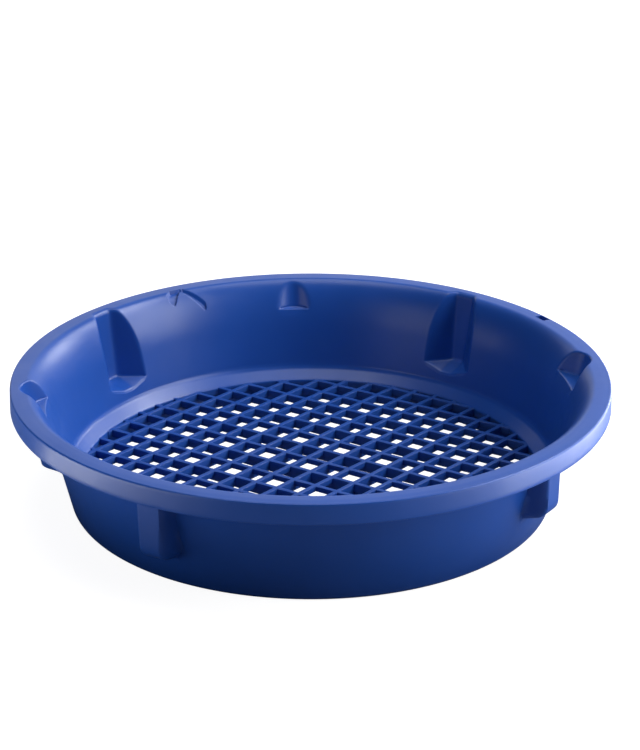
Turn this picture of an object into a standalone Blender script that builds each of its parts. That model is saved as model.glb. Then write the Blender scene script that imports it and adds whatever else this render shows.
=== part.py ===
"""Classifier sieve of a gold-panning set: a round moulded dish with an open lattice bottom.

Metres, +Z up. The origin is on the ground, on the dish's axis. Azimuths are counted from +X towards +Y.
"""
import math
from collections import namedtuple

import bmesh
import bpy
from mathutils import Matrix, Vector

MM = 0.001
CLEARANCE = 0.3 * MM              # gap kept between neighbouring pieces

# Driving dimensions of the dish
RIM_RADIUS = 185.0 * MM           # outer edge of the rim, seen from above
RIM_HEIGHT = 78.0 * MM            # top of the rim above the ground
SKIRT_BOTTOM = 65.0 * MM          # lower edge of the rim's outer skirt
SKIRT_DRAFT = 0.3 * MM            # the skirt's lower edge stands this much further out
SKIN = 2.8 * MM                   # thickness of the rim, skirt and pocket walls
LIP_CHAMFER = 1.0 * MM
EDGE_DROP = 0.2 * MM              # the flat top falls by this much towards the lip
EDGE_DROP_WIDTH = 6.0 * MM        # over this width, from the lip inwards
WALL_TAPER = 0.24                 # outward run of the wall for each unit of height
WALL_INSIDE_RADIUS = 151.7 * MM   # wall, inside face, at the seat's outer edge
WALL_THICKNESS = 3.25 * MM        # measured horizontally
FLARE_START = 48.0 * MM           # above this height the wall flares out into the rim's flat top
FLARE_WIDTH = 10.0 * MM           # outward run of the flare, on the inside face
FLARE_STEPS_INSIDE = 9
FLARE_STEPS_OUTSIDE = 6
RIM_INSIDE_RADIUS = 175.7 * MM    # where the rim piece meets the wall piece
WALL_BOTTOM = 14.3 * MM

# Sloping seat round the lattice, and the foot below it
SEAT_TOP = 21.4 * MM
LATTICE_TOP = 15.1 * MM
SEAT_INSIDE_RADIUS = 143.3 * MM
SEAT_BOTTOM = 9.9 * MM
SEAT_BOTTOM_RADIUS = 147.9 * MM
FOOT_RADIUS = 147.8 * MM          # outside of the foot where it meets the ground
FOOT_THICKNESS = 3.3 * MM
FOOT_PROFILE = (                  # run beyond FOOT_RADIUS, height: the foot's round outer edge
    (4.8 * MM, 10.5 * MM), (3.2 * MM, 5.0 * MM), (1.2 * MM, 1.2 * MM), (0.0, 0.0),
)

# Lattice: two families of ribs that cross at 98 degrees; every second rib is deeper
RIB_WIDTH = 3.0 * MM
LATTICE_THICKNESS = 3.7 * MM
DEEP_RIB_DEPTH = 6.6 * MM         # depth of the deep ribs, from the lattice's top
RIB_FAMILIES = (                  # direction across the ribs, pitch, offset of one deep rib
    (math.radians(56.9), 15.90 * MM, -4.56 * MM),
    (math.radians(139.05), 15.66 * MM, -3.75 * MM),
)

# Hollows pressed outward from the wall, open to the rim's top. In plan each is a trapezium: a
# narrow back, and two flat sides that spread towards the dish's axis.
# Radius and half width of the back are at the rim's height. lean is the back's outward run for
# each unit of height, draft how much wider each side stands for each unit of height, spread how
# much wider for each unit nearer the axis, and fall the floor's drop for each unit nearer the axis.
Hollow = namedtuple("Hollow", "floor back_radius lean back_half_width draft spread fall corner")
REAR_POCKET = Hollow(32.5 * MM, 176.1 * MM, 0.165, 7.0 * MM, 0.05, 0.81, 0.28, 1.8 * MM)
FRONT_LEFT_POCKET = Hollow(28.3 * MM, 171.8 * MM, 0.02, 6.0 * MM, 0.02, 0.15, 0.28, 4.0 * MM)
FRONT_RIGHT_POCKET = Hollow(33.2 * MM, 171.0 * MM, 0.02, 5.4 * MM, 0.02, 0.15, 0.33, 4.0 * MM)
SIDE_SCOOP = Hollow(63.2 * MM, 178.0 * MM, 0.278, 7.5 * MM, 0.05, 0.95, 0.0, 3.0 * MM)
SCOOP_LEG = Hollow(30.0 * MM, 175.0 * MM, 0.200, 5.4 * MM, 0.0, 0.90, 0.0, 2.5 * MM)
END_NOTCH = Hollow(60.0 * MM, 172.2 * MM, 0.386, 3.3 * MM, 0.0, 1.86, 0.0, 0.8 * MM)
HOLLOW_MOUTH_RADIUS = 140.0 * MM  # each cutter starts here, well inside the dish
CUTTER_HEADROOM = 6.0 * MM        # cutters stand this far above the rim
CUTTER_DEPTH = 40.0 * MM          # the lattice's cutters are this tall
HOLLOWS = (                       # node, shape, azimuth
    ("stacking_pocket_rear_right", REAR_POCKET, 53.7),
    ("stacking_pocket_rear_left", REAR_POCKET, 141.8),
    ("stacking_pocket_front_left", FRONT_LEFT_POCKET, 238.2),
    ("stacking_pocket_front_right", FRONT_RIGHT_POCKET, 325.2),
    ("side_scoop_right", SIDE_SCOOP, 9.4),
    ("side_scoop_left", SIDE_SCOOP, 186.6),
    ("end_notch_rear", END_NOTCH, 94.1),
    ("end_notch_front", END_NOTCH, 278.5),
)
LEGS = (                          # outside legs under the side scoops, as deep as the pockets
    ("scoop_leg_right", 9.4),
    ("scoop_leg_left", 186.6),
)

# Small features of the rim's top
HANGING_SLOT_AZIMUTH = 32.7
HANGING_SLOT = (9.0 * MM, 5.0 * MM)            # along the rim, across the rim
HANGING_SLOT_RADIUS = 181.0 * MM
GROOVES = (                       # (radius, azimuth, floor height) of both ends, and width
    ((174.8 * MM, 121.9, 76.2 * MM), (170.4 * MM, 123.4, 73.2 * MM), 6.0 * MM),
    ((174.6 * MM, 120.7, 76.2 * MM), (165.6 * MM, 116.0, 66.6 * MM), 2.4 * MM),
)

SEGMENTS = 72
PLASTIC_BLUE = (0.012, 0.040, 0.220, 1.0)
PLASTIC_ROUGHNESS = 0.42


def clear_scene():
    for item in list(bpy.data.objects):
        bpy.data.objects.remove(item, do_unlink=True)


def make_collection(name):
    collection = bpy.data.collections.new(name)
    bpy.context.scene.collection.children.link(collection)
    return collection


def moulded_plastic(name, shade):
    """Satin blue polypropylene; shade scales the colour of one piece a little."""
    material = bpy.data.materials.new(name)
    material.use_nodes = True
    shader = material.node_tree.nodes["Principled BSDF"]
    colour = [channel * shade for channel in PLASTIC_BLUE[:3]]
    shader.inputs["Base Color"].default_value = (*colour, 1.0)
    shader.inputs["Roughness"].default_value = PLASTIC_ROUGHNESS
    shader.inputs["Metallic"].default_value = 0.0
    return material


def add_object(name, mesh, collection, shade=1.0):
    item = bpy.data.objects.new(name, mesh)
    collection.objects.link(item)
    if collection is CUTTERS:
        item.hide_render = True
        item.display_type = "WIRE"
    else:
        mesh.materials.append(moulded_plastic(name + "_plastic", shade))
    return item


def turned(name, outline, collection, shade=1.0):
    """Turn an outline of (radius, height) points, given from the top down the outer side."""
    mesh = bpy.data.meshes.new(name)
    points = [(radius, 0.0, height) for radius, height in outline]
    edges = [(i, (i + 1) % len(points)) for i in range(len(points))]
    mesh.from_pydata(points, edges, [])
    item = add_object(name, mesh, collection, shade)
    screw = item.modifiers.new("Turn", "SCREW")
    screw.axis = "Z"
    screw.steps = SEGMENTS
    screw.render_steps = SEGMENTS
    screw.use_merge_vertices = True
    screw.merge_threshold = 0.00001
    screw.use_smooth_shade = False
    return item


def cut(item, cutter, operation="DIFFERENCE"):
    boolean = item.modifiers.new(operation.title(), "BOOLEAN")
    boolean.operation = operation
    boolean.solver = "EXACT"
    boolean.object = cutter


def mesh_from(bm, name):
    bmesh.ops.recalc_face_normals(bm, faces=bm.faces)
    mesh = bpy.data.meshes.new(name)
    bm.to_mesh(mesh)
    bm.free()
    return mesh


def polar(radius, degrees):
    angle = math.radians(degrees)
    return Vector((radius * math.cos(angle), radius * math.sin(angle), 0.0))


def arc(centre, radius, start, end, steps):
    """Points of an arc in the (radius, height) plane, angles in degrees."""
    points = []
    for step in range(steps + 1):
        angle = math.radians(start + (end - start) * step / steps)
        points.append((centre[0] + radius * math.cos(angle), centre[1] + radius * math.sin(angle)))
    return points


# --- Section of the dish -------------------------------------------------------------------------

def flare(height, width, top):
    """Outward run of the wall's flare: a quarter of an ellipse that ends level at the given top."""
    climb = max(0.0, height - FLARE_START) / (top - FLARE_START)
    return width * (1.0 - math.sqrt(max(0.0, 1.0 - climb ** 2)))


def wall_inside(height):
    straight = WALL_INSIDE_RADIUS + WALL_TAPER * (height - SEAT_TOP)
    return straight + flare(height, FLARE_WIDTH, RIM_HEIGHT)


def wall_outside(height):
    straight = WALL_INSIDE_RADIUS + WALL_TAPER * (height - SEAT_TOP) + WALL_THICKNESS
    return straight + flare(height, FLARE_WIDTH - WALL_THICKNESS, RIM_HEIGHT - SKIN)


def flare_points(face, top, steps):
    """Points of a wall face from the flare's start up to its level top."""
    heights = [FLARE_START + (top - FLARE_START) * math.sin(math.pi / 2 * step / steps)
               for step in range(steps + 1)]
    return [(face(height), height) for height in heights]


def rim_flange():
    """Flat top of the rim, from the wall to the skirt."""
    top = RIM_HEIGHT
    outer = RIM_RADIUS - SKIN - CLEARANCE
    outline = [
        (RIM_INSIDE_RADIUS, top),
        (RIM_RADIUS - EDGE_DROP_WIDTH, top),
        (outer, top - EDGE_DROP / 2),
        (outer, top - SKIN),
        (RIM_INSIDE_RADIUS, top - SKIN),
    ]
    return turned("rim_flange", outline, PARTS)


def rim_skirt():
    """Band that hangs from the rim's outer edge, with a small chamfer on the lip."""
    top = RIM_HEIGHT - EDGE_DROP
    outer = RIM_RADIUS + SKIRT_DRAFT
    outline = [
        (RIM_RADIUS - SKIN, top + EDGE_DROP / 2),
        (RIM_RADIUS - LIP_CHAMFER, top),
        (RIM_RADIUS, top - LIP_CHAMFER),
        (outer, SKIRT_BOTTOM),
        (outer - SKIN, SKIRT_BOTTOM),
    ]
    return turned("rim_skirt", outline, PARTS)


def bowl_wall():
    """Tapered wall, from the rim's inner edge down to the foot."""
    top_radius = RIM_INSIDE_RADIUS - CLEARANCE
    outline = [(top_radius, RIM_HEIGHT), (top_radius, RIM_HEIGHT - SKIN)]
    outline += reversed(flare_points(wall_outside, RIM_HEIGHT - SKIN, FLARE_STEPS_OUTSIDE))
    outline += [(wall_outside(WALL_BOTTOM), WALL_BOTTOM), (wall_inside(WALL_BOTTOM), WALL_BOTTOM)]
    outline += flare_points(wall_inside, RIM_HEIGHT, FLARE_STEPS_INSIDE)
    return turned("bowl_wall", outline, PARTS, shade=0.98)


def seat_ring():
    """Sloping band that carries the lattice inside the wall."""
    outline = [
        (wall_inside(SEAT_TOP) - CLEARANCE, SEAT_TOP),
        (SEAT_BOTTOM_RADIUS, SEAT_BOTTOM),
        (SEAT_INSIDE_RADIUS, SEAT_BOTTOM),
        (SEAT_INSIDE_RADIUS, LATTICE_TOP),
    ]
    return turned("seat_ring", outline, PARTS, shade=1.05)


def foot_ring():
    """Hollow foot under the wall, with a round lower outer edge."""
    top = WALL_BOTTOM - CLEARANCE
    outline = [(wall_outside(top), top)]
    outline += [(FOOT_RADIUS + run, height) for run, height in FOOT_PROFILE]
    outline += [(FOOT_RADIUS - FOOT_THICKNESS, 0.0), (wall_outside(top) - FOOT_THICKNESS, top)]
    return turned("foot_ring", outline, PARTS, shade=0.95)


# --- Lattice -------------------------------------------------------------------------------------

def lattice_cells(name, span, height):
    """Cutter with one prism for each opening; span 2 leaves only every second rib of each family."""
    (angle_1, pitch_1, offset_1), (angle_2, pitch_2, offset_2) = RIB_FAMILIES
    across = Matrix(((math.cos(angle_1), math.sin(angle_1)), (math.cos(angle_2), math.sin(angle_2))))
    to_plan = across.inverted()
    side_1 = to_plan @ Vector((span * pitch_1 - RIB_WIDTH, 0.0))
    side_2 = to_plan @ Vector((0.0, span * pitch_2 - RIB_WIDTH))
    reach = SEAT_INSIDE_RADIUS + span * pitch_1
    count = int(2 * SEAT_INSIDE_RADIUS / (span * pitch_1)) + 3
    bm = bmesh.new()
    for i in range(-count, count):
        for j in range(-count, count):
            centre = to_plan @ Vector((offset_1 + (i + 0.5) * span * pitch_1,
                                       offset_2 + (j + 0.5) * span * pitch_2))
            if centre.length > reach:
                continue
            place = Matrix((
                (side_1.x, side_2.x, 0.0, centre.x),
                (side_1.y, side_2.y, 0.0, centre.y),
                (0.0, 0.0, height, LATTICE_TOP),
                (0.0, 0.0, 0.0, 1.0),
            ))
            bmesh.ops.create_cube(bm, size=1.0, matrix=place)
    return add_object(name, mesh_from(bm, name), CUTTERS)


def lattice_plate(name, top, thickness, shade):
    """Round plate that just fits inside the seat."""
    radius = SEAT_INSIDE_RADIUS - CLEARANCE
    bm = bmesh.new()
    bmesh.ops.create_cone(bm, cap_ends=True, segments=SEGMENTS, radius1=radius, radius2=radius,
                          depth=thickness, matrix=Matrix.Translation((0.0, 0.0, top - thickness / 2)))
    return add_object(name, mesh_from(bm, name), PARTS, shade)


def sieve_lattice():
    plate = lattice_plate("sieve_lattice", LATTICE_TOP, LATTICE_THICKNESS, 1.0)
    cut(plate, lattice_cells("lattice_openings", 1, CUTTER_DEPTH))


def deep_ribs():
    """Lower part of every second rib, which stiffens the lattice."""
    top = LATTICE_TOP - LATTICE_THICKNESS - CLEARANCE
    plate = lattice_plate("deep_ribs", top, top - LATTICE_TOP + DEEP_RIB_DEPTH, 0.95)
    cut(plate, lattice_cells("deep_rib_openings", 2, CUTTER_DEPTH))


# --- Hollows of the wall -------------------------------------------------------------------------

def back_radius(shape, height):
    return shape.back_radius + shape.lean * (height - RIM_HEIGHT)


def hollow_block(name, shape, azimuth, grow, bottom, top):
    """Block of a hollow between two heights, its back and sides moved outward by grow."""
    bm = bmesh.new()
    bmesh.ops.create_cube(bm, size=2.0)
    for vertex in bm.verts:
        height = top if vertex.co.z > 0 else bottom
        back = back_radius(shape, height)
        radius = back + grow if vertex.co.x > 0 else HOLLOW_MOUTH_RADIUS
        if vertex.co.z < 0:
            height -= shape.fall * (back - radius)
            back = back_radius(shape, height)
        half_width = shape.back_half_width + shape.draft * (height - RIM_HEIGHT)
        half_width += shape.spread * (back - radius) + grow * math.hypot(1.0, shape.spread)
        vertex.co = Vector((radius, math.copysign(half_width, vertex.co.y), height))
    back_edges = [edge for edge in bm.edges if all(v.co.x > HOLLOW_MOUTH_RADIUS for v in edge.verts)]
    floor_is_round = bottom <= shape.floor and top > RIM_HEIGHT
    if floor_is_round:
        round_edges = [edge for edge in back_edges if any(v.co.z < RIM_HEIGHT for v in edge.verts)]
    else:
        round_edges = [edge for edge in back_edges if edge.verts[0].co.z != edge.verts[1].co.z]
    bmesh.ops.bevel(bm, geom=round_edges, offset=shape.corner + grow, segments=3, profile=0.5,
                    affect="EDGES", clamp_overlap=True)
    turn = Matrix.Rotation(math.radians(azimuth), 3, "Z")
    bmesh.ops.rotate(bm, verts=bm.verts, cent=(0, 0, 0), matrix=turn)
    return add_object(name, mesh_from(bm, name), CUTTERS)


def dish_envelope():
    """Everything outside the dish's inside face and under the rim's top, as far as the skirt."""
    outer = RIM_RADIUS - SKIN - 2 * CLEARANCE
    outline = [
        (outer, RIM_HEIGHT),
        (outer, WALL_BOTTOM),
        (wall_inside(WALL_BOTTOM), WALL_BOTTOM),
    ]
    outline += flare_points(wall_inside, RIM_HEIGHT, FLARE_STEPS_INSIDE)
    return turned("dish_envelope", outline, CUTTERS)


def hollow_liner(name, shape, azimuth, envelope, pierced):
    """Thin-walled liner of a hollow, and the matching opening in the pieces that it passes through."""
    above = RIM_HEIGHT + CUTTER_HEADROOM
    gap = SKIN + CLEARANCE
    hollow = hollow_block(name + "_inside", shape, azimuth, 0.0, shape.floor, above)
    outside = hollow_block(name + "_outside", shape, azimuth, SKIN, shape.floor - SKIN, above)
    opening = hollow_block(name + "_opening", shape, azimuth, gap, shape.floor - gap, above)
    for item in pierced:
        cut(item, opening)
    liner = add_object(name, outside.data.copy(), PARTS, 1.02)
    cut(liner, hollow)
    cut(liner, envelope, "INTERSECT")
    bpy.data.objects.remove(outside, do_unlink=True)


def scoop_leg(name, azimuth, envelope):
    """Channel under a side scoop, as deep as the pockets and open at the bottom."""
    bottom = SCOOP_LEG.floor - SKIN
    top = SIDE_SCOOP.floor - SKIN - CLEARANCE
    hollow = hollow_block(name + "_inside", SCOOP_LEG, azimuth, 0.0, bottom - SKIN, top + SKIN)
    outside = hollow_block(name + "_outside", SCOOP_LEG, azimuth, SKIN, bottom, top)
    leg = add_object(name, outside.data.copy(), PARTS, 0.98)
    cut(leg, hollow)
    cut(leg, envelope, "INTERSECT")
    bpy.data.objects.remove(outside, do_unlink=True)


def outer_envelope():
    """Everything between the wall's outside face and the skirt."""
    outer = RIM_RADIUS - SKIN - 2 * CLEARANCE
    outline = [
        (outer, SIDE_SCOOP.floor),
        (outer, WALL_BOTTOM),
        (wall_outside(WALL_BOTTOM) + CLEARANCE, WALL_BOTTOM),
        (wall_outside(FLARE_START) + CLEARANCE, FLARE_START),
        (wall_outside(SIDE_SCOOP.floor) + CLEARANCE, SIDE_SCOOP.floor),
    ]
    return turned("outer_envelope", outline, CUTTERS)


# --- Small features of the rim's top -------------------------------------------------------------

def hanging_slot():
    """Oblong hole through the rim."""
    bm = bmesh.new()
    centre = polar(HANGING_SLOT_RADIUS, HANGING_SLOT_AZIMUTH)
    centre.z = RIM_HEIGHT - SKIN / 2
    length, width = HANGING_SLOT
    place = Matrix.Translation(centre) @ Matrix.Rotation(math.radians(HANGING_SLOT_AZIMUTH), 4, "Z")
    place = place @ Matrix.Diagonal((width, length, 3 * SKIN, 1.0))
    bmesh.ops.create_cube(bm, size=1.0, matrix=place)
    return add_object("hanging_slot_cutter", mesh_from(bm, "hanging_slot_cutter"), CUTTERS)


def chevron_groove(index, start, end, width):
    """One leg of the arrow-shaped groove in the rim, with a floor that follows the flare."""
    start_spot, end_spot = polar(*start[:2]), polar(*end[:2])
    across = (end_spot - start_spot).normalized().cross(Vector((0.0, 0.0, 1.0))) * (width / 2)
    above = Vector((0.0, 0.0, RIM_HEIGHT + SKIN))
    bm = bmesh.new()
    corners = []
    for spot, floor_height in ((start_spot, start[2]), (end_spot, end[2])):
        below = Vector((0.0, 0.0, floor_height))
        corners.append([bm.verts.new(spot + offset) for offset in
                        (below - across, below + across, above + across, above - across)])
    near, far = corners
    bm.faces.new(near)
    bm.faces.new(far)
    for side in range(4):
        following = (side + 1) % 4
        bm.faces.new((near[side], near[following], far[following], far[side]))
    return add_object(f"chevron_cutter_{index}", mesh_from(bm, f"chevron_cutter_{index}"), CUTTERS)


def build():
    rim = rim_flange()
    skirt = rim_skirt()
    wall = bowl_wall()
    seat_ring()
    foot_ring()
    sieve_lattice()
    deep_ribs()
    envelope = dish_envelope()
    for name, shape, azimuth in HOLLOWS:
        hollow_liner(name, shape, azimuth, envelope, (rim, wall))
    outside_wall = outer_envelope()
    for name, azimuth in LEGS:
        scoop_leg(name, azimuth, outside_wall)
    slot = hanging_slot()
    cut(rim, slot)
    cut(skirt, slot)
    for index, (start, end, width) in enumerate(GROOVES):
        groove = chevron_groove(index, start, end, width)
        cut(rim, groove)
        cut(wall, groove)


clear_scene()
PARTS = make_collection("classifier_sieve")
CUTTERS = make_collection("cutters")
build()
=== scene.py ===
"""Looks of the classifier sieve: one moulded dish with its lattice, in satin blue plastic.

The dish is one closed surface: a grid of rows round its section and columns round its axis, with
the hollows pressed into it and the hanging slot cut out of it. The lattice is the union of two
families of straight ribs.

Lengths of the dish and the lattice are in millimetres and are scaled to metres when a mesh is
made. The studio is in metres. Azimuths are in degrees, counted from +X towards +Y.
"""
import math
from typing import NamedTuple

import bmesh
import bpy
import numpy as np
from mathutils import Matrix, Vector


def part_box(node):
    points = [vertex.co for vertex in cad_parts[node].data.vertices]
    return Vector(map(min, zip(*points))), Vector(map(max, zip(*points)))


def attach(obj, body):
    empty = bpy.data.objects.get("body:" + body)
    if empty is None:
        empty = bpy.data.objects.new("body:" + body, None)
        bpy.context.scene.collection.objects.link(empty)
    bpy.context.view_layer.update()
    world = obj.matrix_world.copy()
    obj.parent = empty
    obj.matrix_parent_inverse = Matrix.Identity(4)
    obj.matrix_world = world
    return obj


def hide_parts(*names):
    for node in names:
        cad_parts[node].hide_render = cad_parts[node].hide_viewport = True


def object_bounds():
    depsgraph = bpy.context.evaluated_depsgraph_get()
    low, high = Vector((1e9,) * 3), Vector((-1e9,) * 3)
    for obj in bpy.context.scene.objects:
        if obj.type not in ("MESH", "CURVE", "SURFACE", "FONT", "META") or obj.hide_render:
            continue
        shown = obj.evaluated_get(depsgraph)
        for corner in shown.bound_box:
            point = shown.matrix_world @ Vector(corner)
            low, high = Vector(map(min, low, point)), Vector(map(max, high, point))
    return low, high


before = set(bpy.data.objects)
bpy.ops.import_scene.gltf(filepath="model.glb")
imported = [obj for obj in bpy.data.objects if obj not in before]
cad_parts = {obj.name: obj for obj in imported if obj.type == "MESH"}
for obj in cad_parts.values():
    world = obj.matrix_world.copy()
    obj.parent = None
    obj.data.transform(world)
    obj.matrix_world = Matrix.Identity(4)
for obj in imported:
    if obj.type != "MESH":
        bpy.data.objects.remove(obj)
CAD_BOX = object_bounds()

MM = 0.001

# --- Section of the dish ----------------------------------------------------------------------
# Points of the profile that are used once are written where its rows are made.

RIM_HEIGHT = CAD_BOX[1][2] / MM
RIM_RADIUS = 185.0
SKIRT_OUT = CAD_BOX[1][0] / MM
SKIRT_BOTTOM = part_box("rim_skirt")[0][2] / MM
SKIN = 2.8                        # thickness of the flange, the skirt and the hollows
FLANGE_UNDER = RIM_HEIGHT - SKIN
WALL_TAPER = 0.24
WALL_THICKNESS = 3.25
SEAT_TOP = 21.4
SEAT_INNER = 143.3
SEAT_BOTTOM = 9.9
LATTICE_TOP = 15.1
WALL_AT_SEAT = 151.7
FLARE_START = 48.0
FLARE_WIDTH = 10.0
FOOT_INSIDE = 144.5

# The rim's top falls a little between these radii
DROP_START = 179.0
DROP_END = 184.0
EDGE_DROP = 0.2
LIP_START = 183.9

# Rounds of the rim, the seat and the foot
LIP_ROUND = 1.1
SKIRT_ROUND_OUT = 0.7
SKIRT_ROUND_IN = 0.6
FLANGE_FILLET = 1.5
FOOT_ROUND = 3.2
FOOT_EDGE_ROUND = 0.5
SEAT_FILLET = 1.5


class Shape(NamedTuple):
    """A block that narrows downward and widens towards the axis.

    It is the inside of a hollow, or what the outside is grown from, outward by the skin.
    """
    floor: float          # height of the floor at the back
    back_radius: float    # radius of the back at the rim's top
    lean: float           # how far the back comes in per millimetre down
    back_half: float      # half width of the back at the rim's top
    draft: float          # how much that half width shrinks per millimetre down
    spread: float         # how much the half width grows per millimetre towards the axis
    fall: float           # how far the floor falls per millimetre towards the axis


class Hollow(NamedTuple):
    azimuth: float
    inside: Shape
    outside: Shape
    reach: float          # degrees to each side with this hollow's values and close columns
    under_round: float    # round between the outside's back and its underside


REAR_POCKET = Shape(32.5, 176.1, 0.165, 7.0, 0.05, 0.81, 0.28)
FRONT_LEFT_POCKET = Shape(28.3, 171.8, 0.02, 6.0, 0.02, 0.15, 0.28)
FRONT_RIGHT_POCKET = Shape(33.2, 171.0, 0.02, 5.4, 0.02, 0.15, 0.33)
SIDE_SCOOP = Shape(63.2, 178.6, 0.278, 6.9, 0.05, 0.95, 0.0)
SCOOP_LEG = Shape(30.0, 175.0, 0.20, 5.4, 0.0, 0.90, 0.0)
END_NOTCH = Shape(60.0, 172.2, 0.386, 3.3, 0.0, 1.86, 0.0)
HOLLOWS = (
    Hollow(9.4, SIDE_SCOOP, SCOOP_LEG, 10.0, 1.0),
    Hollow(53.7, REAR_POCKET, REAR_POCKET, 9.0, 4.0),
    Hollow(94.1, END_NOTCH, END_NOTCH, 6.5, 2.0),
    Hollow(141.8, REAR_POCKET, REAR_POCKET, 9.0, 4.0),
    Hollow(186.6, SIDE_SCOOP, SCOOP_LEG, 10.0, 1.0),
    Hollow(238.2, FRONT_LEFT_POCKET, FRONT_LEFT_POCKET, 9.0, 7.0),
    Hollow(278.5, END_NOTCH, END_NOTCH, 6.5, 2.0),
    Hollow(325.2, FRONT_RIGHT_POCKET, FRONT_RIGHT_POCKET, 9.0, 7.5),
)
HOLLOW_SPAN = 20.0        # a hollow's surface is never looked for beyond this many degrees

# Rounds between a hollow's back and its sides
CORNER_OUTSIDE = 4.0
CORNER_INSIDE = 1.8
CORNER_SCOOP = 7.0
# Rounds of a hollow's mouth at the rim's top, and of its outside at the rim's underside
CREST = 1.2
CREST_REAR_POCKET = 3.0
MOUTH_OUTSIDE = 2.0
# Rounds of a hollow's floor to its back and to the wall, and of its underside to the wall
FLOOR_ROUND = 1.6
FLOOR_LIP = 1.3
UNDERSIDE_LIP = 1.5
# How softly the wall and the hollows' surface run into one another
BLEND_INSIDE = 1.3
BLEND_OUTSIDE = 1.4
OUTSIDE_LIMIT = 181.7     # keeps a hollow's outside clear of the skirt

# A scoop's outside takes over from its leg above this height, over this much of a climb
SCOOP_START = 58.0
SCOOP_RUN = 3.0

# Steps between columns, in degrees: on the plain wall, at the hollows and at the groove
COARSE_STEP = 1.2
DENSE_STEP = 0.30
GROOVE_STEP = 0.1
GROOVE_RANGE = (113.5, 126.5)


class Groove(NamedTuple):
    """One stroke of the arrow-shaped groove; each end is a radius and an azimuth."""
    start: tuple
    end: tuple
    width: float
    depth: float


GROOVES = (
    Groove((174.8, 121.9), (170.4, 123.4), 6.0, 2.5),
    Groove((174.6, 120.7), (165.3, 115.9), 2.4, 2.0),
)
GROOVE_FLANK = 0.5        # width over which a stroke reaches its depth
GROOVE_BOTTOM = 60.0      # no groove below this height

SLOT_RADIUS = 181.0
SLOT_AZIMUTH = 32.7
SLOT_SINK = 1.0           # the cutter's middle lies this far below the rim's top
SLOT_CUTTER = (5.0, 9.0, 9.0)

# Faces that meet at more than this many degrees are shaded with a crease
DISH_CREASE = 60.0
LATTICE_CREASE = 50.0


def smooth_max(a, b, k):
    h = np.clip(0.5 + 0.5 * (b - a) / k, 0.0, 1.0)
    return a * (1 - h) + b * h + k * h * (1 - h)


def smooth_min(a, b, k):
    return -smooth_max(-a, -b, k)


def smoothstep(x):
    x = np.clip(x, 0.0, 1.0)
    return x * x * (3 - 2 * x)


def plan_point(radius, azimuth):
    angle = math.radians(azimuth)
    return np.array([radius * math.cos(angle), radius * math.sin(angle)])


def flare(z, width, top):
    """Outward run of the wall's flare, a quarter of an ellipse that ends level at the top."""
    climb = np.clip((z - FLARE_START) / (top - FLARE_START), 0.0, 1.0)
    return width * (1.0 - np.sqrt(1.0 - climb ** 2))


def quarter_round(z, top, size):
    """Outward run of a quarter circle that ends level at the top."""
    edge = np.clip(z - (top - size), 0.0, size)
    return size - np.sqrt(size ** 2 - edge ** 2)


def wall_inside(z):
    return WALL_AT_SEAT + WALL_TAPER * (z - SEAT_TOP) + flare(z, FLARE_WIDTH, RIM_HEIGHT)


def wall_outside(z):
    straight = WALL_AT_SEAT + WALL_TAPER * (z - SEAT_TOP) + WALL_THICKNESS
    return straight + flare(z, FLARE_WIDTH - WALL_THICKNESS, FLANGE_UNDER)


def top_drop(radius):
    """How far the rim's top falls towards the lip."""
    return EDGE_DROP * smoothstep((radius - DROP_START) / (DROP_END - DROP_START))


def azimuth_grid():
    """Azimuths of the columns: close together at the hollows and the groove, wider elsewhere."""
    def within(angles, ranges):
        keep = np.zeros(len(angles), bool)
        for low, high in ranges:
            keep |= ((angles - low) % 360.0) <= (high - low)
        return angles[keep]

    hollows = [(hollow.azimuth - hollow.reach, hollow.azimuth + hollow.reach)
               for hollow in HOLLOWS]
    grid = np.concatenate([
        np.arange(0.0, 360.0, COARSE_STEP),
        within(np.arange(0.0, 360.0, DENSE_STEP), hollows),
        within(np.arange(0.0, 360.0, GROOVE_STEP), [GROOVE_RANGE]),
    ])
    return np.unique(np.round(grid, 3))


AZIMUTH = azimuth_grid()


def offset_from(azimuth):
    """Signed angle of each column from a hollow's middle, in degrees."""
    return (AZIMUTH - azimuth + 180.0) % 360.0 - 180.0


def block_radius(shape, delta, z, grow, corner):
    """Radius of a hollow's back and sides, moved outward by grow, at angles delta from its middle.

    The corner between back and sides is eased over the given length.
    """
    back = shape.back_radius + shape.lean * (z - RIM_HEIGHT)
    half_width = shape.back_half + shape.draft * (z - RIM_HEIGHT)
    flat = (back + grow) / np.cos(delta)
    reach_side = half_width + shape.spread * back + grow * math.hypot(1.0, shape.spread)
    side = reach_side / (np.abs(np.sin(delta)) + shape.spread * np.cos(delta))
    return smooth_min(flat, side, corner)


def hollow_radius(z, outside):
    """Radius of the hollows' surface at each column at heights z, 0 away from them."""
    radius = np.zeros_like(z)
    for hollow in HOLLOWS:
        delta = np.radians(offset_from(hollow.azimuth))
        if outside:
            block = block_radius(hollow.outside, delta, z, SKIN, CORNER_OUTSIDE)
            if hollow.outside is not hollow.inside:
                scoop = block_radius(hollow.inside, delta, z, SKIN, CORNER_OUTSIDE)
                share = smoothstep((z - SCOOP_START) / SCOOP_RUN)
                block += np.maximum(scoop - block, 0.0) * share
        else:
            corner = CORNER_SCOOP if hollow.inside is SIDE_SCOOP else CORNER_INSIDE
            block = block_radius(hollow.inside, delta, z, 0.0, corner)
        near = np.abs(delta) < math.radians(HOLLOW_SPAN)
        radius = np.where(near, np.maximum(radius, block), radius)
    return radius


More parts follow.
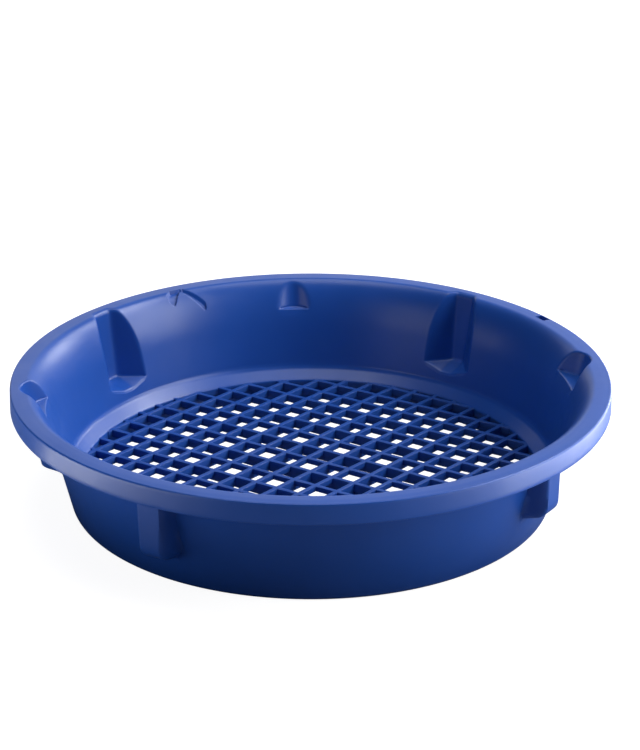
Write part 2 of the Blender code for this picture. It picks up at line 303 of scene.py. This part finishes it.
def along_rim(pick):
    """A hollow's property at each column, run smoothly from one hollow to the next."""
    knots, values = [], []
    for hollow in HOLLOWS:
        knots += [hollow.azimuth - hollow.reach, hollow.azimuth + hollow.reach]
        values += [pick(hollow)] * 2
    knots = ([knots[-2] - 360.0, knots[-1] - 360.0] + knots
             + [knots[0] + 360.0, knots[1] + 360.0])
    values = values[-2:] + values + values[:2]
    after = np.searchsorted(knots, AZIMUTH, side="right")
    knots, values = np.array(knots), np.array(values)
    run = (AZIMUTH - knots[after - 1]) / (knots[after] - knots[after - 1])
    return values[after - 1] + (values[after] - values[after - 1]) * smoothstep(run)


# --- Rows of the section, from the seat's inner edge over the rim to the seat's underside ------

WALL_ROWS_BELOW = 14      # steps between a hollow's floor and the seat or the foot
INSIDE_ROWS_ABOVE = 44
OUTSIDE_ROWS_ABOVE = 26
TOP_ROWS = 12
UNDER_ROWS = 5
ROUND_STEPS = 6           # steps in each of a ledge's two rounds


class Section:
    """Collects rows; each row is a radius and a height for every column."""

    def __init__(self):
        self.rows = []
        self.lip_row = 0

    def add(self, radius, height):
        ones = np.ones(len(AZIMUTH))
        self.rows.append((radius * ones, height * ones))

    def line(self, start, end, count, include_end=False):
        steps = count + 1 if include_end else count
        for i in range(steps):
            t = i / count
            self.add(start[0] + (end[0] - start[0]) * t, start[1] + (end[1] - start[1]) * t)

    def arc(self, centre, radius, first, last, count):
        for i in range(count + 1):
            angle = math.radians(first + (last - first) * i / count)
            self.add(centre[0] + radius * math.cos(angle), centre[1] + radius * math.sin(angle))


def climb_share(step, steps):
    """Share of a climb that is done after a step; the steps grow shorter towards the top."""
    return math.sin(math.pi / 2 * step / steps) * 0.75 + 0.25 * step / steps


def ledge(wall, floor, fall, back, depth, outer_round, inner_round):
    """Rows of a hollow's floor, from its back to the wall, as (radius, height) pairs.

    Where the depth is nothing, the rows lie close together on the plain wall.
    """
    full_depth = 1.2      # from here on the rows are the ledge's own
    round_share = 0.45    # a round takes up no more of the depth than this
    plain_half = 1.2      # half the height that the rows cover on the plain wall
    lip_turn = 80.0       # the round over the ledge's inner edge, in degrees

    amount = smoothstep(depth / full_depth)
    first = np.minimum(outer_round, depth * round_share)
    last = np.minimum(inner_round, depth * round_share)
    lip = wall(floor - fall * depth)
    rows = []
    for i in range(ROUND_STEPS + 1):
        angle = math.radians(-90.0 * i / ROUND_STEPS)
        rows.append((back - first + first * math.cos(angle),
                     floor + first + first * math.sin(angle)))
    start, end = back - first, lip + last
    for t in (0.25, 0.5, 0.75):
        rows.append((start + (end - start) * t, floor))
    for i in range(ROUND_STEPS + 1):
        angle = math.radians(90.0 + lip_turn * i / ROUND_STEPS)
        rows.append((lip + last + last * math.cos(angle), floor - last + last * math.sin(angle)))
    blended = []
    for (radius, height), rise in zip(rows, np.linspace(plain_half, -plain_half, len(rows))):
        height = height - fall * np.maximum(back - radius, 0.0)
        plain_height = floor + rise
        blended.append((amount * radius + (1 - amount) * wall(plain_height),
                        amount * height + (1 - amount) * plain_height))
    return blended


def inside_rows(section):
    """Seat, inside of the wall with its hollows, and flare, from below to above."""
    floor = along_rim(lambda hollow: hollow.inside.floor)
    fall = along_rim(lambda hollow: hollow.inside.fall)
    crest = along_rim(
        lambda hollow: CREST_REAR_POCKET if hollow.inside is REAR_POCKET else CREST)

    seat_edge = (SEAT_INNER + 0.5, LATTICE_TOP)
    seat_end = (WALL_AT_SEAT - 1.0, SEAT_TOP - 0.8)
    wall_start = SEAT_TOP + 1.0
    section.line((SEAT_INNER, LATTICE_TOP - 0.5), seat_edge, 1)
    section.line(seat_edge, seat_end, 7)
    section.line(seat_end, (wall_inside(wall_start), wall_start), 3)

    def surface(z):
        """Wall or hollow, whichever lies further out, with a round edge at the rim's top."""
        hollow = hollow_radius(z, False)
        hollow = np.where(hollow > 0, hollow + quarter_round(z, RIM_HEIGHT, crest), 0.0)
        return smooth_max(wall_inside(z), hollow, BLEND_INSIDE)

    level = floor + FLOOR_ROUND
    back = surface(level)
    depth = back - wall_inside(level)
    block = ledge(wall_inside, floor, fall, back, depth, FLOOR_ROUND, FLOOR_LIP)
    low_end = block[-1][1]
    for i in range(WALL_ROWS_BELOW):
        height = wall_start + (low_end - wall_start) * i / WALL_ROWS_BELOW
        section.add(wall_inside(height), height)
    for radius, height in reversed(block):
        section.add(radius, height)
    bottom = block[0][1]
    for i in range(1, INSIDE_ROWS_ABOVE + 1):
        height = bottom + (RIM_HEIGHT - bottom) * climb_share(i, INSIDE_ROWS_ABOVE)
        radius = surface(height)
        section.add(radius, height - top_drop(radius))


def rim_rows(section):
    """Flat top, lip, skirt and the underside's outer fillet."""
    inner = section.rows[-1][0]
    section.lip_row = len(section.rows)
    for i in range(1, TOP_ROWS + 1):
        radius = inner + (LIP_START - inner) * i / TOP_ROWS
        section.add(radius, RIM_HEIGHT - top_drop(radius))
    lip_height = RIM_HEIGHT - EDGE_DROP - LIP_ROUND
    section.arc((RIM_RADIUS - LIP_ROUND, lip_height), LIP_ROUND, 80.0, 0.0, 6)
    section.line((RIM_RADIUS + 0.03, lip_height - 1.2),
                 (SKIRT_OUT, SKIRT_BOTTOM + SKIRT_ROUND_OUT), 5)
    section.arc((SKIRT_OUT - SKIRT_ROUND_OUT, SKIRT_BOTTOM + SKIRT_ROUND_OUT),
                SKIRT_ROUND_OUT, 0.0, -90.0, 4)
    section.arc((SKIRT_OUT - SKIN + SKIRT_ROUND_IN, SKIRT_BOTTOM + SKIRT_ROUND_IN),
                SKIRT_ROUND_IN, -90.0, -180.0, 3)
    skirt_in = RIM_RADIUS - SKIN
    section.line((skirt_in + 0.25, SKIRT_BOTTOM + 2.0), (skirt_in + 0.05, FLANGE_UNDER - 1.8), 3)
    section.arc((skirt_in - FLANGE_FILLET, FLANGE_UNDER - FLANGE_FILLET),
                FLANGE_FILLET, 0.0, 90.0, 4)


def outside_rows(section):
    """Underside of the rim, outside of the wall with its hollows, and foot."""
    floor = along_rim(lambda hollow: hollow.outside.floor - SKIN)
    fall = along_rim(lambda hollow: hollow.outside.fall)
    under_round = along_rim(lambda hollow: hollow.under_round)

    def surface(z):
        """Wall or hollow, whichever lies further out, with a fillet to the rim's underside."""
        hollow = hollow_radius(z, True)
        hollow = np.where(hollow > 0, hollow + quarter_round(z, FLANGE_UNDER, MOUTH_OUTSIDE), 0.0)
        return np.minimum(smooth_max(wall_outside(z), hollow, BLEND_OUTSIDE), OUTSIDE_LIMIT)

    top = surface(FLANGE_UNDER * np.ones(len(AZIMUTH)))
    start = section.rows[-1][0]
    for i in range(1, UNDER_ROWS + 1):
        section.add(start + (top - start) * i / UNDER_ROWS, FLANGE_UNDER)
    level = floor + under_round
    back = surface(level)
    depth = back - wall_outside(level)
    block = ledge(wall_outside, floor, fall, back, depth, under_round, UNDERSIDE_LIP)
    bottom = block[0][1]
    for i in range(OUTSIDE_ROWS_ABOVE - 1, 0, -1):
        height = bottom + (FLANGE_UNDER - bottom) * climb_share(i, OUTSIDE_ROWS_ABOVE)
        section.add(surface(height), height)
    for radius, height in block:
        section.add(radius, height)
    slope = math.atan(WALL_TAPER)
    foot_height = FOOT_ROUND * (1 - math.sin(slope))
    low_end = block[-1][1]
    for i in range(1, WALL_ROWS_BELOW):
        height = low_end + (foot_height - low_end) * i / WALL_ROWS_BELOW
        section.add(wall_outside(height), height)
    foot_rows(section, slope, foot_height)


def foot_rows(section, slope, foot_height):
    """Round foot, its inside and the seat's underside, back to the seat's inner edge."""
    centre = wall_outside(foot_height) - FOOT_ROUND * math.cos(slope)
    foot_edge = FOOT_INSIDE + FOOT_EDGE_ROUND
    section.arc((centre, FOOT_ROUND), FOOT_ROUND, -math.degrees(slope), -90.0, 7)
    section.line((centre - 0.4, 0.0), (foot_edge, 0.0), 1, True)
    section.arc((foot_edge, FOOT_EDGE_ROUND), FOOT_EDGE_ROUND, -110.0, -180.0, 2)
    section.line((FOOT_INSIDE + 0.3, 2.0), (wall_outside(8.0) - 3.6, 8.0), 2)
    section.arc((wall_outside(8.4) - 5.1, SEAT_BOTTOM - SEAT_FILLET), SEAT_FILLET, 0.0, 90.0, 3)
    section.line((SEAT_INNER + 1.2, SEAT_BOTTOM), (SEAT_INNER, SEAT_BOTTOM + 0.4), 1, True)
    section.line((SEAT_INNER, SEAT_BOTTOM + 2.0), (SEAT_INNER, LATTICE_TOP - 1.6), 1, True)


def groove_depth(x, y):
    """Depth of the arrow-shaped groove at plan points, in millimetres."""
    depth = np.zeros_like(x)
    for groove in GROOVES:
        start = plan_point(*groove.start)
        run = plan_point(*groove.end) - start
        along = ((x - start[0]) * run[0] + (y - start[1]) * run[1]) / (run @ run)
        along = np.clip(along, 0.0, 1.0)
        away = np.hypot(x - start[0] - along * run[0], y - start[1] - along * run[1])
        half = groove.width * 0.5 + GROOVE_FLANK / 2
        depth = np.maximum(depth, groove.depth * smoothstep((half - away) / GROOVE_FLANK))
    return depth


def link(name, data):
    """A new object for some data, in the scene."""
    item = bpy.data.objects.new(name, data)
    bpy.context.scene.collection.objects.link(item)
    return item


def add_mesh(name, vertices, faces):
    mesh = bpy.data.meshes.new(name)
    mesh.from_pydata(vertices, [], faces)
    mesh.validate()
    mesh.update()
    return link(name, mesh)


def apply_boolean(item, operation, other):
    """Apply a boolean to a piece, and remove the other object."""
    boolean = item.modifiers.new(other.name, "BOOLEAN")
    boolean.operation = operation
    boolean.solver = "EXACT"
    boolean.object = other
    bpy.context.view_layer.update()
    graph = bpy.context.evaluated_depsgraph_get()
    mesh = bpy.data.meshes.new_from_object(item.evaluated_get(graph))
    item.modifiers.clear()
    item.data = mesh
    bpy.data.objects.remove(other, do_unlink=True)


def shade_with_creases(item, angle):
    """Smooth shading, with a crease wherever faces meet at more than an angle in degrees."""
    item.data.shade_smooth()
    item.data.set_sharp_from_angle(angle=math.radians(angle))


def dish_surface():
    section = Section()
    inside_rows(section)
    rim_rows(section)
    outside_rows(section)
    radius = np.array([row[0] for row in section.rows])
    height = np.array([row[1] for row in section.rows])
    angle = np.radians(AZIMUTH)
    x = radius * np.cos(angle)
    y = radius * np.sin(angle)
    inner_side = np.arange(len(section.rows))[:, None] < section.lip_row
    height = height - groove_depth(x, y) * (inner_side & (height > GROOVE_BOTTOM))
    rows, columns = radius.shape
    points = np.stack([x, y, height], axis=-1).reshape(-1, 3) * MM
    grid = np.arange(rows * columns).reshape(rows, columns)
    above = np.roll(grid, -1, axis=0)
    quads = np.stack([grid, np.roll(grid, -1, axis=1), np.roll(above, -1, axis=1), above], axis=-1)
    return add_mesh("dish_body", points.tolist(), quads.reshape(-1, 4).tolist())


def slot_cutter():
    """Block that cuts the hanging slot, turned to the slot's azimuth."""
    centre = Vector((*plan_point(SLOT_RADIUS, SLOT_AZIMUTH), RIM_HEIGHT - SLOT_SINK))
    place = Matrix.Translation(centre * MM) @ Matrix.Rotation(math.radians(SLOT_AZIMUTH), 4, "Z")
    place = place @ Matrix.Diagonal((*(length * MM for length in SLOT_CUTTER), 1.0))
    bm = bmesh.new()
    bmesh.ops.create_cube(bm, size=1.0, matrix=place)
    mesh = bpy.data.meshes.new("hanging_slot")
    bm.to_mesh(mesh)
    bm.free()
    return link("hanging_slot", mesh)


def dish_body():
    item = dish_surface()
    apply_boolean(item, "DIFFERENCE", slot_cutter())
    shade_with_creases(item, DISH_CREASE)
    return item


# --- Lattice ----------------------------------------------------------------------------------

class RibFamily(NamedTuple):
    across: float         # direction across the ribs, in degrees
    pitch: float
    offset: float         # signed distance of the middle rib from the dish's axis
    extra: float          # added depth of the deep ribs, every second one, at the deepest spot


RIB_FAMILIES = (
    RibFamily(56.9, 15.90, -4.56, 0.9),
    RibFamily(139.05, 15.66, -3.75, 0.0),
)
DEEPEST_SPOT = (10.0, -45.0)
DEEPEST_REACH = 60.0      # the extra depth fades away over this distance
RIB_WIDTH = 3.0
RIB_DRAFT = 0.86          # width of a rib's bottom as a share of its width
RIB_EASE = 0.35           # size of its eased top edges
RIB_EASE_BULGE = 0.12     # how far their middle stays back from the sharp corner
HALF_STATION = 7.0        # a long rib's stations stand at least twice this far apart
FEWEST_STATIONS = 5
LATTICE_REACH = SEAT_INNER + 0.9
EDGE_CLEARANCE = 1.5      # a rib nearer than this to the lattice's edge is left out

# Depth over rim radius: at the axis, and its growth with the square of radius over rim radius
DEEP_RIB = (0.0385, -0.0268)
SHALLOW_RIB = (0.0189, 0.0152)


def rib_depth(radius, deep):
    r = radius / RIM_RADIUS
    at_axis, growth = DEEP_RIB if deep else SHALLOW_RIB
    return RIM_RADIUS * (at_axis + growth * r * r)


def rib_outline(depth):
    """A rib's section as (side, rise) pairs, from the bottom round the eased top edges."""
    half = RIB_WIDTH / 2
    return (
        (-half * RIB_DRAFT, -depth), (half * RIB_DRAFT, -depth),
        (half, -RIB_EASE), (half - RIB_EASE_BULGE, -RIB_EASE_BULGE), (half - RIB_EASE, 0.0),
        (-half + RIB_EASE, 0.0), (-half + RIB_EASE_BULGE, -RIB_EASE_BULGE), (-half, -RIB_EASE),
    )


def rib_family(name, family):
    """Straight ribs with eased top edges, each as deep as the lattice is at that radius."""
    direction = math.radians(family.across)
    across = Vector((math.cos(direction), math.sin(direction)))
    along = Vector((-across.y, across.x))
    deepest = Vector(DEEPEST_SPOT)
    ring = len(rib_outline(0.0))
    vertices, faces = [], []
    count = int(SEAT_INNER / family.pitch) + 2
    for index in range(-count, count + 1):
        distance = family.offset + index * family.pitch
        if abs(distance) > LATTICE_REACH - EDGE_CLEARANCE:
            continue
        deep = index % 2 == 0
        length = math.sqrt(LATTICE_REACH ** 2 - distance ** 2)
        stations = max(FEWEST_STATIONS, int(length / HALF_STATION))
        base = len(vertices)
        for step in range(stations + 1):
            position = -length + 2 * length * step / stations
            depth = rib_depth(math.hypot(distance, position), deep)
            if deep:
                away = (across * distance + along * position - deepest).length
                depth += family.extra * math.exp(-(away / DEEPEST_REACH) ** 2)
            for side, rise in rib_outline(depth):
                spot = across * (distance + side) + along * position
                vertices.append((spot.x * MM, spot.y * MM, (LATTICE_TOP + rise) * MM))
        for step in range(stations):
            for k in range(ring):
                a = base + step * ring + k
                b = base + step * ring + (k + 1) % ring
                faces.append((a, a + ring, b + ring, b))
        faces.append(tuple(base + k for k in range(ring)))
        faces.append(tuple(base + stations * ring + k for k in reversed(range(ring))))
    item = add_mesh(name, vertices, faces)
    bm = bmesh.new()
    bm.from_mesh(item.data)
    bmesh.ops.recalc_face_normals(bm, faces=bm.faces)
    bm.to_mesh(item.data)
    bm.free()
    return item


def lattice():
    item = rib_family("lattice", RIB_FAMILIES[0])
    apply_boolean(item, "UNION", rib_family("lattice_second", RIB_FAMILIES[1]))
    shade_with_creases(item, LATTICE_CREASE)
    return item


# --- Material ---------------------------------------------------------------------------------

TINTS = ((0.0110, 0.072, 0.362), (0.0130, 0.080, 0.395))


def moulded_plastic(name, shade, gloss, roughness_range):
    """Blue plastic with a fine moulded grain and faint, slow changes of tint and gloss."""
    material = bpy.data.materials.new(name)
    material.use_nodes = True
    nodes = material.node_tree.nodes
    links = material.node_tree.links
    shader = nodes["Principled BSDF"]
    shader.inputs["Specular IOR Level"].default_value = gloss
    place = nodes.new("ShaderNodeTexCoord")

    def noise(scale, detail, roughness=0.5):
        node = nodes.new("ShaderNodeTexNoise")
        node.inputs["Scale"].default_value = scale
        node.inputs["Detail"].default_value = detail
        node.inputs["Roughness"].default_value = roughness
        links.new(place.outputs["Object"], node.inputs["Vector"])
        return node.outputs[0]

    def remap(source, start, end, low, high):
        """Source values from start to end become low to high."""
        node = nodes.new("ShaderNodeMapRange")
        node.inputs["From Min"].default_value = start
        node.inputs["From Max"].default_value = end
        node.inputs["To Min"].default_value = low
        node.inputs["To Max"].default_value = high
        links.new(source, node.inputs["Value"])
        return node.outputs[0]

    def bump(source, strength, distance):
        node = nodes.new("ShaderNodeBump")
        node.inputs["Strength"].default_value = strength
        node.inputs["Distance"].default_value = distance
        links.new(source, node.inputs["Height"])
        return node

    tint = nodes.new("ShaderNodeMix")
    tint.data_type = "RGBA"
    for socket, colour in zip("AB", TINTS):
        tint.inputs[socket].default_value = (*(channel * shade for channel in colour), 1.0)
    cloud = noise(scale=14.0, detail=3.0)
    links.new(remap(cloud, 0.35, 0.65, 0.0, 1.0), tint.inputs["Factor"])
    links.new(tint.outputs["Result"], shader.inputs["Base Color"])

    smear = noise(scale=60.0, detail=4.0, roughness=0.6)
    links.new(remap(smear, 0.3, 0.7, *roughness_range), shader.inputs["Roughness"])

    grain = bump(noise(scale=2600.0, detail=2.0), strength=0.12, distance=0.00010)
    waves = bump(noise(scale=22.0, detail=2.0), strength=0.10, distance=0.0012)
    links.new(grain.outputs["Normal"], waves.inputs["Normal"])
    links.new(waves.outputs["Normal"], shader.inputs["Normal"])
    return material


# --- Stage, light and camera ------------------------------------------------------------------

WHITE = (1.0, 1.0, 1.0, 1.0)
AMBIENT = (0.80, 0.88, 1.0, 1.0)
AMBIENT_STRENGTH = 0.02
FLOOR_RADIUS = 6.0
FLOOR_SINK = 0.0003       # keeps the floor off the foot's flat bottom
FLOOR_GLOW = 0.93         # the camera sees this glow and the light that falls on this grey
FLOOR_GREY = (0.35, 0.35, 0.35, 1.0)
FLOOR_BOUNCE = (0.22, 0.24, 0.28, 1.0)      # the dish is lit by a plain floor of this colour

DISH_MIDDLE = (0.0, 0.0, 0.05)
SOFTBOXES = (             # name, location, size and power; they face the dish
    ("key_right", (1.97, -0.35, 1.1), (1.5, 1.5), 36.0),
    ("key_high", (1.36, 0.63, 1.61), (0.8, 0.8), 24.0),
    ("key_back_right", (1.25, 1.35, 0.95), (0.6, 0.6), 5.0),
    ("low_back_right", (1.4, 1.5, 0.65), (0.6, 0.5), 7.5),
    ("backdrop", (0.0, 2.2, 0.95), (3.4, 1.3), 11.5),
    ("overhead", (0.0, 0.2, 2.2), (1.5, 1.5), 18.0),
    ("low_left", (-1.8, -0.2, 0.3), (0.8, 0.5), 1.6),
    ("front_left", (-1.3, -1.2, 0.6), (0.8, 0.8), 2.8),
)
TABLE_PANELS = (          # name, place on the table, size and power; they face up
    ("table_right", (0.80, 0.50), (1.0, 1.4), 32.0),
    ("table_front_right", (0.60, -0.45), (0.7, 0.6), 4.0),
    ("table_left", (-0.50, -0.28), (0.45, 0.5), 3.5),
)
PANEL_HEIGHT = 0.002

CAMERA_PLACE = (0.0, -1.3290, 0.6271)
CAMERA_FORWARD = (0.0, 0.92421, -0.38188)
CAMERA_LENS = 130.78
CAMERA_SHIFT = (0.0145, -0.0004)
CAMERA_REACH = 30.0


def seen_or_lighting(tree, seen, lighting, output):
    """Show one shader to the camera, and light the object with another."""
    path = tree.nodes.new("ShaderNodeLightPath")
    mix = tree.nodes.new("ShaderNodeMixShader")
    tree.links.new(path.outputs["Is Camera Ray"], mix.inputs[0])
    tree.links.new(lighting.outputs[0], mix.inputs[1])
    tree.links.new(seen.outputs[0], mix.inputs[2])
    out = tree.nodes.new(output)
    tree.links.new(mix.outputs[0], out.inputs["Surface"])


def shader_node(tree, kind, colour, strength=None):
    node = tree.nodes.new(kind)
    node.inputs["Color"].default_value = colour
    if strength is not None:
        node.inputs["Strength"].default_value = strength
    return node


def studio():
    """White surroundings that light the object only faintly."""
    world = bpy.data.worlds.new("studio")
    bpy.context.scene.world = world
    world.use_nodes = True
    tree = world.node_tree
    tree.nodes.clear()
    seen = shader_node(tree, "ShaderNodeBackground", WHITE, 1.0)
    soft = shader_node(tree, "ShaderNodeBackground", AMBIENT, AMBIENT_STRENGTH)
    seen_or_lighting(tree, seen, soft, "ShaderNodeOutputWorld")


def floor():
    """Pale floor: almost white to the eye, with the dish's soft contact shadow."""
    bm = bmesh.new()
    bmesh.ops.create_circle(bm, cap_ends=True, radius=FLOOR_RADIUS, segments=64)
    mesh = bpy.data.meshes.new("floor")
    bm.to_mesh(mesh)
    bm.free()
    item = link("floor", mesh)
    item.location.z = -FLOOR_SINK
    material = bpy.data.materials.new("pale_floor")
    material.use_nodes = True
    tree = material.node_tree
    tree.nodes.clear()
    grey = shader_node(tree, "ShaderNodeBsdfDiffuse", FLOOR_GREY)
    glow = shader_node(tree, "ShaderNodeEmission", WHITE, FLOOR_GLOW)
    bright = tree.nodes.new("ShaderNodeAddShader")
    tree.links.new(grey.outputs[0], bright.inputs[0])
    tree.links.new(glow.outputs[0], bright.inputs[1])
    bounce = shader_node(tree, "ShaderNodeBsdfDiffuse", FLOOR_BOUNCE)
    seen_or_lighting(tree, bright, bounce, "ShaderNodeOutputMaterial")
    mesh.materials.append(material)


def aim(item, location, direction):
    item.location = location
    item.rotation_euler = direction.to_track_quat("-Z", "Y").to_euler()


def softbox(name, location, target, size, power):
    """Rectangular light that the camera doesn't see."""
    light = bpy.data.lights.new(name, "AREA")
    light.shape = "RECTANGLE"
    light.size, light.size_y = size
    light.energy = power
    item = link(name, light)
    item.visible_camera = False
    aim(item, location, Vector(target) - Vector(location))


def lights():
    for name, location, size, power in SOFTBOXES:
        softbox(name, location, DISH_MIDDLE, size, power)
    for name, spot, size, power in TABLE_PANELS:
        softbox(name, (*spot, PANEL_HEIGHT), (*spot, 1.0), size, power)


def camera():
    data = bpy.data.cameras.new("camera")
    data.sensor_fit = "HORIZONTAL"
    data.sensor_width = 36.0
    data.lens = CAMERA_LENS
    data.shift_x, data.shift_y = CAMERA_SHIFT
    data.dof.use_dof = False
    data.clip_end = CAMERA_REACH
    item = link("camera", data)
    aim(item, CAMERA_PLACE, Vector(CAMERA_FORWARD))
    bpy.context.scene.camera = item


# --- Make everything --------------------------------------------------------------------------

body = dish_body()
ribs = lattice()
finishes = {
    body: moulded_plastic(
        "satin_blue_plastic", shade=1.0, gloss=0.5, roughness_range=(0.29, 0.37)),
    ribs: moulded_plastic(
        "matt_blue_plastic", shade=0.85, gloss=0.33, roughness_range=(0.38, 0.50)),
}
for piece, finish in finishes.items():
    piece.data.materials.clear()
    piece.data.materials.append(finish)
    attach(piece, "root")
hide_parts("sieve_lattice", "deep_ribs")
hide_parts(*(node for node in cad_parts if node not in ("sieve_lattice", "deep_ribs")))

studio()
floor()
lights()
camera()
bpy.context.scene.view_settings.view_transform = "Standard"
